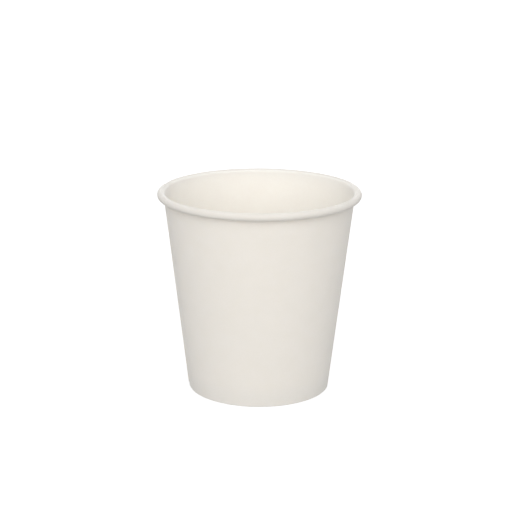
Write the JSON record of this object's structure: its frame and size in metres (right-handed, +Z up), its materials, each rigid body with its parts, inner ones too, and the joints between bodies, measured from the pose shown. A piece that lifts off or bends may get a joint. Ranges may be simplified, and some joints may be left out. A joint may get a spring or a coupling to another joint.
{
  "type": "paper coffee cup",
  "caption": "Small plain single-wall paper cup with a rolled rim, a lapped side seam and a bottom set up inside a folded foot.",
  "frame": {"origin": "centre of the foot, on the surface that the cup stands on", "axes": "+Z up along the cup's axis, towards the mouth; -Y faces the viewer in the picture; the side seam is on the -X side, 15 degrees towards the back"},
  "size_m": [0.062, 0.062, 0.062],
  "materials": {
    "sidewall_board": "uncoated off-white cup board outside, thin clear film inside",
    "bottom_board": "off-white cup board with a thin clear film on top"
  },
  "bodies": {
    "root": {"sidewall": "sidewall_board", "bottom": "bottom_board"}
  },
  "joints": []
}
